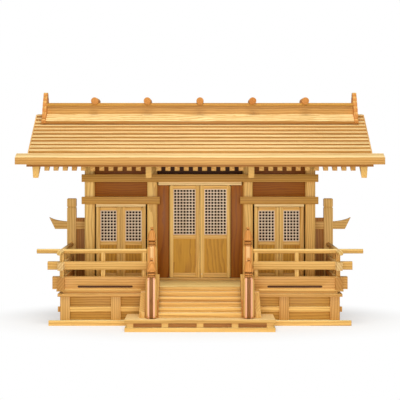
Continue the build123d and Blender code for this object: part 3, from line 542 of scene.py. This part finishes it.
def edit_chosen(piece, kind, chosen, act):
    # runs one edit-mode step on the chosen polygons, edges or vertices alone
    edit(piece, lambda: bpy.ops.mesh.select_all(action="DESELECT"))
    for thing in getattr(piece.data, kind):
        thing.select = chosen(thing)
    only(piece)
    bpy.ops.object.mode_set(mode="EDIT")
    act()
    bpy.ops.object.mode_set(mode="OBJECT")


def stick(name, low, high):
    # a sawn stick between two corners, with its place in its mesh
    size = [b - a for a, b in zip(low, high)]
    middle = [(a + b) / 2 for a, b in zip(low, high)]
    bpy.ops.mesh.primitive_cube_add(size=1)
    piece = bpy.context.active_object
    piece.name = name
    edit(piece, lambda: bpy.ops.transform.resize(value=size))
    edit(piece, lambda: bpy.ops.transform.translate(value=middle))
    return piece


def bar(name, low, high, arris=0.0003, segments=2):
    # the same stick with every arris planed off
    piece = stick(name, low, high)
    edit(piece, lambda: bpy.ops.mesh.bevel(offset=arris, segments=segments, affect="EDGES"))
    return piece


def join(pieces, name, smooth_under=soft_under):
    bpy.ops.object.select_all(action="DESELECT")
    for piece in pieces:
        piece.select_set(True)
    bpy.context.view_layer.objects.active = pieces[0]
    bpy.ops.object.join()
    whole = bpy.context.active_object
    whole.name = name
    bpy.ops.object.shade_smooth_by_angle(angle=smooth_under)
    return whole


def repeated(first, step, count, name):
    # a joined row of copies of one bar
    row = [first]
    for i in range(1, count):
        twin = bpy.data.objects.new(f"{name}_{i}", first.data.copy())
        bpy.context.scene.collection.objects.link(twin)
        edit(twin, lambda: bpy.ops.transform.translate(value=[i * s for s in step]))
        row.append(twin)
    return join(row, name)


print("helpers: edit, edit_chosen, stick, bar, join, repeated")

# %% Lattices and door leaves
door_nodes = sorted(node for node in nodes if node.startswith("door_") and body_of_node[node] != "root")
lattice_pitch = (0.0059, 0.0058)
lattice_bar = 0.0017
stock_t = 0.008
batten_half = 0.0062
bottom_rail, middle_rail = 0.0092, {"middle": 0.008, "side": 0.0071}
pin_h, pin_r = 0.003, 0.0016
panel_sink = 0.0025
rail_back = 0.0002                                  # rails lie this far behind the stiles' faces
tongue = 0.001                                      # how far a panel is let into its frame
field_margin, field_step, field_rise = 0.0030, 0.0003, 0.0012
lattice_arris = 0.00025
upright_depth, level_start = 1.2, 0.5               # both in halves of the lattice's thickness


def woven(node, low, high):
    # uprights in front, level bars behind, let into each other
    columns = round((high[0] - low[0] - lattice_bar) / lattice_pitch[0])
    rows = round((high[2] - low[2] - lattice_bar) / lattice_pitch[1])
    step_x = (high[0] - low[0] - lattice_bar) / columns
    step_z = (high[2] - low[2] - lattice_bar) / rows
    half = (high[1] - low[1]) / 2
    upright = bar(node + "_upright", low, (low[0] + lattice_bar, low[1] + half * upright_depth, high[2]),
                  arris=lattice_arris)
    uprights = repeated(upright, (step_x, 0, 0), columns + 1, node + "_uprights")
    level = bar(node + "_level", (low[0], low[1] + half * level_start, low[2]),
                (high[0], high[1], low[2] + lattice_bar), arris=lattice_arris)
    levels = repeated(level, (0, 0, step_z), rows + 1, node + "_levels")
    return join([uprights, levels], "woven_" + node)


def inset_twice():
    bpy.ops.mesh.select_mode(type="FACE")
    bpy.ops.mesh.inset(thickness=field_margin, depth=0.0)
    bpy.ops.mesh.inset(thickness=field_step, depth=field_rise)
    bpy.ops.mesh.select_mode(type="VERT")


def raised_field(panel):
    # the panel's two faces are inset and stand forward, which leaves a shadow line round them
    edit_chosen(panel, "polygons", lambda face: abs(face.normal.y) > square_on, inset_twice)
    return panel


def leaf_of(node, lattice):
    low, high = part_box(node)
    window_low, window_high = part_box(lattice)
    front = high[1] - stock_t
    z0, z1 = low[2] + pin_h, high[2] - pin_h
    rail = middle_rail["middle" if "middle" in node else "side"]
    parts = []
    pin_x = pins[body_of_node[node]][0]
    for k, (x0, x1) in enumerate(((low[0], window_low[0]), (window_high[0], high[0]))):
        if x0 < pin_x < x1:
            stile = stick(f"{node}_stile{k}", (x0, front, z0), (x1, high[1], z1))
            round_edge(stile, min((x0, x1), key=lambda x: abs(x - pin_x)), stock_t / 2 - 0.0001)
            round_arrises(stile, 0.0004, sharper_than=50)
        else:
            stile = bar(f"{node}_stile{k}", (x0, front, z0), (x1, high[1], z1), arris=0.0006)
        parts.append(stile)
    spans = ((z0, z0 + bottom_rail), (window_low[2] - rail, window_low[2]), (window_high[2], z1))
    for k, (a, b) in enumerate(spans):
        parts.append(bar(f"{node}_rail{k}", (window_low[0], front + rail_back, a),
                         (window_high[0], high[1] - rail_back, b), arris=0.0005))
    field = stick(node + "_panel", (window_low[0] - tongue, front + panel_sink, z0 + bottom_rail - tongue),
                  (window_high[0] + tongue, high[1] - panel_sink, window_low[2] - rail + tongue))
    parts.append(raised_field(field))
    return parts, front, (z0, z1)


pins = {joint["child"]: joint["pos_m"] for joint in frame["joints"]}


def pin(name, place, low, high):
    # a turned pin standing out of the stile's end, its rim broken
    bpy.ops.mesh.primitive_cylinder_add(vertices=24, radius=pin_r, depth=high - low)
    piece = bpy.context.active_object
    piece.name = name
    edit(piece, lambda: bpy.ops.transform.translate(value=(place[0], place[1], (low + high) / 2)))
    round_arrises(piece, 0.0003)
    return piece


def round_edge(piece, x, radius):
    # rounds both upright edges of a stile at the side where its pin is
    edit_chosen(piece, "edges", lambda edge: is_upright(piece.data, edge, x),
                lambda: bpy.ops.mesh.bevel(offset=radius, segments=8, affect="EDGES"))


def is_upright(mesh, edge, x):
    a, b = [mesh.vertices[i].co for i in edge.vertices]
    return abs(a.x - x) < 1e-6 and abs(b.x - x) < 1e-6 and abs(a.z - b.z) > 0.05


for node in door_nodes:
    lattice = node.replace("door_", "lattice_")
    woven_piece = woven(lattice, *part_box(lattice))
    settle(woven_piece, lattice, lattice_wood)
    parts, front, (z0, z1) = leaf_of(node, lattice)
    low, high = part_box(node)
    # the batten half runs down the meeting edge, which is the one away from the pin
    pin_place = pins[body_of_node[node]]
    meets_high = abs(high[0] - pin_place[0]) > abs(low[0] - pin_place[0])
    edges = (high[0] - batten_half, high[0]) if meets_high else (low[0], low[0] + batten_half)
    parts.append(bar(node + "_batten", (edges[0], low[1], z0), (edges[1], front + rail_back, z1),
                     arris=0.0005))
    parts += [pin(node + "_foot", pin_place, low[2], z0), pin(node + "_head", pin_place, z1, high[2])]
    for part in parts:
        kind = "panel" if part.name.endswith("_panel") else "rail" if "_rail" in part.name else "stile"
        part.data.materials.append(door_woods[kind])
        if kind == "panel":
            widest = max(face.area for face in part.data.polygons)
            # the ring round the raised field is painted dark, a painted shadow line
            refinish(part, groove_shade_wood,
                     lambda face: abs(face.normal.y) > square_on and face.area < widest / 2)
    settle(join(parts, "joined_" + node), node, None)
print("door leaves:", len(door_nodes))

# %% [markdown]
# A newel is a square post with its arrises planed off in three cuts, and its top is turned: a grooved neck
# under a bell-shaped jewel with a small knob. Half its outline is drawn out from a single vertex by extruding
# it from point to point, after its corners are cut once to soften them, and it is spun round the post's own
# axis. Each cut of the post is painted another tone by the way it faces, painted light and shade.

# %% Newels
newel_w, newel_d = 0.0200, 0.0190
newel_chamfer = 0.0066
newel_x = {"lower_newels": 0.0862, "upper_newels": 0.0885}
shaft_h = {"lower_newels": 0.0734, "upper_newels": 0.0795}
# radius and height above the shaft, from the neck up to the top of the knob
neck_profile = [(0.0, 0.0), (0.0078, 0.0), (0.0078, 0.0018), (0.0062, 0.0024), (0.0062, 0.0034),
                (0.0076, 0.0040), (0.0076, 0.0066), (0.0058, 0.0072), (0.0058, 0.0086), (0.0092, 0.0100),
                (0.0094, 0.0110), (0.0084, 0.0132), (0.0075, 0.0168), (0.0068, 0.0205), (0.0058, 0.0240),
                (0.0042, 0.0270), (0.0024, 0.0286), (0.0022, 0.0298), (0.0033, 0.0312), (0.0033, 0.0328),
                (0.0020, 0.0341), (0.0, 0.0342)]
# heights of the grooves under the jewel and under its knob, which are painted darker as painted shade
neck_grooves = ((0.0021, 0.0037), (0.0068, 0.0092), (0.0280, 0.0302))
edge_turn = (0.1, 0.4)                              # how far sideways the post's slanting cuts look


def spun(name, x, y, z, outline, steps=40):
    # one half outline, of (radius, height) pairs, drawn from a single vertex and spun into a closed piece
    bpy.ops.mesh.primitive_plane_add(size=1, calc_uvs=False)
    piece = bpy.context.active_object
    piece.name = name
    edit(piece, lambda: bpy.ops.mesh.merge(type="CENTER"))
    edit(piece, lambda: bpy.ops.transform.translate(value=(x + outline[0][0], y, z + outline[0][1])))
    for (r0, h0), (r1, h1) in zip(outline, outline[1:]):
        newest = len(piece.data.vertices) - 1
        edit_chosen(piece, "vertices", lambda corner: corner.index == newest,
                    lambda: bpy.ops.mesh.extrude_region_move(
                        TRANSFORM_OT_translate={"value": (r1 - r0, 0, h1 - h0)}))
    edit(piece, lambda: bpy.ops.mesh.spin(steps=steps, angle=math.tau, center=(x, y, z), axis=(0, 0, 1)))
    edit(piece, lambda: bpy.ops.mesh.remove_doubles(threshold=0.00001))
    edit(piece, lambda: bpy.ops.mesh.normals_make_consistent(inside=False))
    only(piece)
    bpy.ops.object.shade_smooth_by_angle(angle=soft_under)
    return piece


def smooth_outline(points):
    # each corner is cut a quarter of the way along both its sides, and the ends are kept
    near, far = 0.75, 0.25
    cut = [points[0]]
    for (r0, h0), (r1, h1) in zip(points, points[1:]):
        cut.append((near * r0 + far * r1, near * h0 + far * h1))
        cut.append((far * r0 + near * r1, far * h0 + near * h1))
    return cut + [points[-1]]


def newel_post(name, x, front, base, height):
    post = stick(name, (x - newel_w / 2, front, base), (x + newel_w / 2, front + newel_d, base + height))

    def stands(edge):
        a, b = [post.data.vertices[i].co for i in edge.vertices]
        return abs(a.z - b.z) > height / 2

    edit_chosen(post, "edges", stands,
                lambda: bpy.ops.mesh.bevel(offset=newel_chamfer, segments=3, affect="EDGES"))
    round_arrises(post, 0.0005, sharper_than=40)
    return post


def in_neck(rise):
    return any(low < rise < high for low, high in neck_grooves)


for node, height in shaft_h.items():
    low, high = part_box(node)
    pieces = []
    for k, x in enumerate((-newel_x[node], newel_x[node])):
        post = newel_post(f"{node}_post{k}", x, low[1], low[2], height)
        post.data.materials.append(finishes[node])
        # the chamfers and sides are painted other tones by the way they face, painted light and shade
        refinish(post, newel_facet_light[node], lambda face: edge_turn[0] < abs(face.normal.x) < edge_turn[1])
        refinish(post, newel_side_light_and_shade, lambda face: abs(face.normal.x) > edge_turn[1])
        pieces.append(post)
        top = spun(f"{node}_top{k}", x, low[1] + newel_w / 2, low[2] + height, smooth_outline(neck_profile))
        top.data.materials.append(jewel_wood)
        # the neck's grooves take the darker finish, painted shade
        refinish(top, neck_shade_wood, lambda face: in_neck(face.center.z - low[2] - height))
        pieces.append(top)
    settle(join(pieces, "turned_" + node, smooth_under=math.radians(25)), node, None)
print("newels:", len(shaft_h) * 2)

# %% [markdown]
# Three small pieces that the solids leave out. A thin board stands behind the blocks of the platform, so that
# its gaps are brown and not black. The stair's ends are closed by a sloping board outside each newel. A small
# turned knob at the foot of the middle pair is what a finger pulls.

# %% Small pieces of the stair and doors
def dress(piece, body, finish):
    piece.data.materials.append(finish)
    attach(piece, body)
    return piece


block_low, block_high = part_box("platform_base")
fascia_end, fascia_t, fascia_foot, clear_of_top = 0.004, 0.003, 0.0045, 0.0004
fascia_y = block_low[1] + 0.007
fascia = bar("platform_fascia", (block_low[0] + fascia_end, fascia_y, block_low[2] + fascia_foot),
             (block_high[0] - fascia_end, fascia_y + fascia_t, block_high[2] - clear_of_top))
# shaded_brown is the fascia's colour darkened as painted shade behind the blocks
shaded_brown, end_honey = (176, 120, 58), (232, 188, 112)
knob_cream, verge_honey = (252, 226, 176), (224, 182, 120)
dress(fascia, "root", cypress("fascia_wood", "X", shaded_brown))

tread_low, tread_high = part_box("stair_treads")
board_in, board_out = 0.0984, 0.1083
board_foot, board_ahead, board_run, board_drop = 0.0063, 0.003, 0.050, 0.029
board_middle_z = 0.04
end_finish = cypress("stair_end_wood", "Z", end_honey, pith=(0.05, 0.04))
for s, side in ((-1, "left"), (1, "right")):
    x0, x1 = sorted((s * board_in, s * board_out))
    board = stick("stair_end_" + side, (x0, tread_low[1] - board_ahead, block_high[2] + board_foot),
                  (x1, tread_low[1] + board_run, tread_high[2] - clear_of_top))
    edit_chosen(board, "vertices", lambda corner: corner.co.z > board_middle_z and corner.co.y < tread_low[1],
                lambda: bpy.ops.transform.translate(value=(0, 0, -board_drop)))
    round_arrises(board, 0.0004)
    dress(board, "root", end_finish)

door_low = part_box("door_middle_right")[0]
knob_x, knob_z, knob_r, knob_let_in = door_low[0] + batten_half / 2, door_low[2] + 0.0105, 0.0017, 0.0002
knob_profile = [(0.0, 0.0), (knob_r * 0.6, 0.0), (knob_r * 0.5, 0.0008), (knob_r, 0.0014),
                (knob_r * 0.9, 0.0024), (0.0, 0.0026)]
knob = spun("middle_door_knob", knob_x, 0.0, 0.0, smooth_outline(knob_profile), steps=24)
edit(knob, lambda: bpy.ops.transform.rotate(value=-math.pi / 2, orient_axis="X",
                                            center_override=(knob_x, 0, 0)))
edit(knob, lambda: bpy.ops.transform.translate(value=(0, door_low[1] + knob_let_in, knob_z)))
dress(knob, body_of_node["door_middle_right"],
      cypress("knob_wood", "Z", knob_cream))
print("platform fascia, stair ends and knob added")
print("the knob reaches", round(min(corner.co.y for corner in knob.data.vertices), 4))

# %% [markdown]
# The ends of the roof courses are covered by a thin verge board down each slope, so that the roof ends in one
# clean line. It is a stick turned to the pitch about its own middle.

# %% Verge boards
verge_t, verge_h = 0.0022, 0.0075
verge_short, verge_sink = 0.0015, 0.42              # cut back at both ends, and the share let down
verge_wood = cypress("verge_wood", "Y", verge_honey, rake=-pitch, mirrored=True)
for slope, way in (("front", -1), ("rear", 1)):
    low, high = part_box("roof_boards_" + slope)
    run = high[1] - low[1]
    length = math.hypot(run, roof_slope * run)
    middle_y = (low[1] + high[1]) / 2
    middle_z = high[2] - roof_slope * run / 2 - verge_h * verge_sink
    for s, side in ((-1, "left"), (1, "right")):
        x0, x1 = sorted((s * high[0], s * (high[0] + verge_t)))
        verge = bar(f"verge_{slope}_{side}",
                    (x0, middle_y - length / 2 + verge_short, middle_z - verge_h / 2),
                    (x1, middle_y + length / 2 - verge_short, middle_z + verge_h / 2))
        edit(verge, lambda: bpy.ops.transform.rotate(value=way * math.atan(roof_slope), orient_axis="X",
                                                     center_override=(0, middle_y, middle_z)))
        dress(verge, "root", verge_wood)
        ends = [v.co for v in verge.data.vertices]
        print(verge.name, "rises to", round(max(end.z for end in ends), 4), "at y",
              round(max(ends, key=lambda end: end.z).y, 4))

# %% [markdown]
# A studio tent: one broad lamp overhead and a little in front, so that tops are brightest, a weaker one low
# in front that opens the shade under the roof, and a white room. The floor is pale and keeps the shadow. The
# camera sees white behind, because the floor's and the world's own colour say so, and never more light.

# %% Floor, backdrop and lamps
def floor_finish():
    material = bpy.data.materials.new("pale_floor")
    material.use_nodes = True
    tree = material.node_tree
    tree.nodes.clear()
    start = Value(tree)
    rays = [start.node("ShaderNodeLightPath", i) for i in (0, 3, 6)]
    place = start.node("ShaderNodeTexCoord", "Object")
    across, deep = [start.node("ShaderNodeSeparateXYZ", i, i0=place) for i in (0, 1)]
    away = (across * across * 0.4 + deep * deep).math("SQRT").band(0.15, 0.3)
    seen = (rays[0] + rays[1] + rays[2]).clamp()
    matt = start.node("ShaderNodeBsdfDiffuse", Color=(0.9, 0.9, 0.9, 1))
    white = start.node("ShaderNodeEmission", Color=(1, 1, 1, 1), Strength=1.0)
    shader = start.node("ShaderNodeMixShader", i0=(0.5 + away * 0.5) * seen, i1=matt, i2=white)
    output = tree.nodes.new("ShaderNodeOutputMaterial")
    tree.links.new(shader.socket, output.inputs["Surface"])
    return material


bpy.ops.mesh.primitive_plane_add(size=8, location=(0, 1.5, 0))
floor = bpy.context.active_object
floor.name = "studio_floor"
bpy.ops.object.transform_apply(location=True, rotation=False, scale=False)
floor.data.materials.append(floor_finish())

world = bpy.data.worlds.new("white_room")
bpy.context.scene.world = world
world.use_nodes = True
room = Value(world.node_tree)
world.node_tree.nodes.clear()
seen = room.node("ShaderNodeLightPath", 0)
around = room.node("ShaderNodeBackground", Color=(1.0, 0.98, 0.95, 1), Strength=0.3)
behind = room.node("ShaderNodeBackground", Color=(1, 1, 1, 1), Strength=1.0)
both_rooms = room.node("ShaderNodeMixShader", i0=seen, i1=around, i2=behind)
world_output = world.node_tree.nodes.new("ShaderNodeOutputWorld")
world.node_tree.links.new(both_rooms.socket, world_output.inputs["Surface"])


def lamp(name, place, aim, size, power, colour):
    data = bpy.data.lights.new(name, "AREA")
    data.shape = "RECTANGLE"
    data.size, data.size_y = size
    data.energy = power
    data.color = colour
    holder = bpy.data.objects.new(name, data)
    bpy.context.scene.collection.objects.link(holder)
    holder.location = place
    holder.rotation_euler = (Vector(aim) - Vector(place)).to_track_quat("-Z", "Y").to_euler()


lamp("overhead", (0.0, -0.6, 1.9), (0, 0, 0.2), (1.2, 0.6), 23, (1.0, 0.98, 0.93))
lamp("front_fill", (0.0, -2.3, 0.5), (0, 0, 0.2), (1.4, 0.8), 27, (1.0, 0.98, 0.94))
bpy.context.scene.view_settings.view_transform = "Standard"
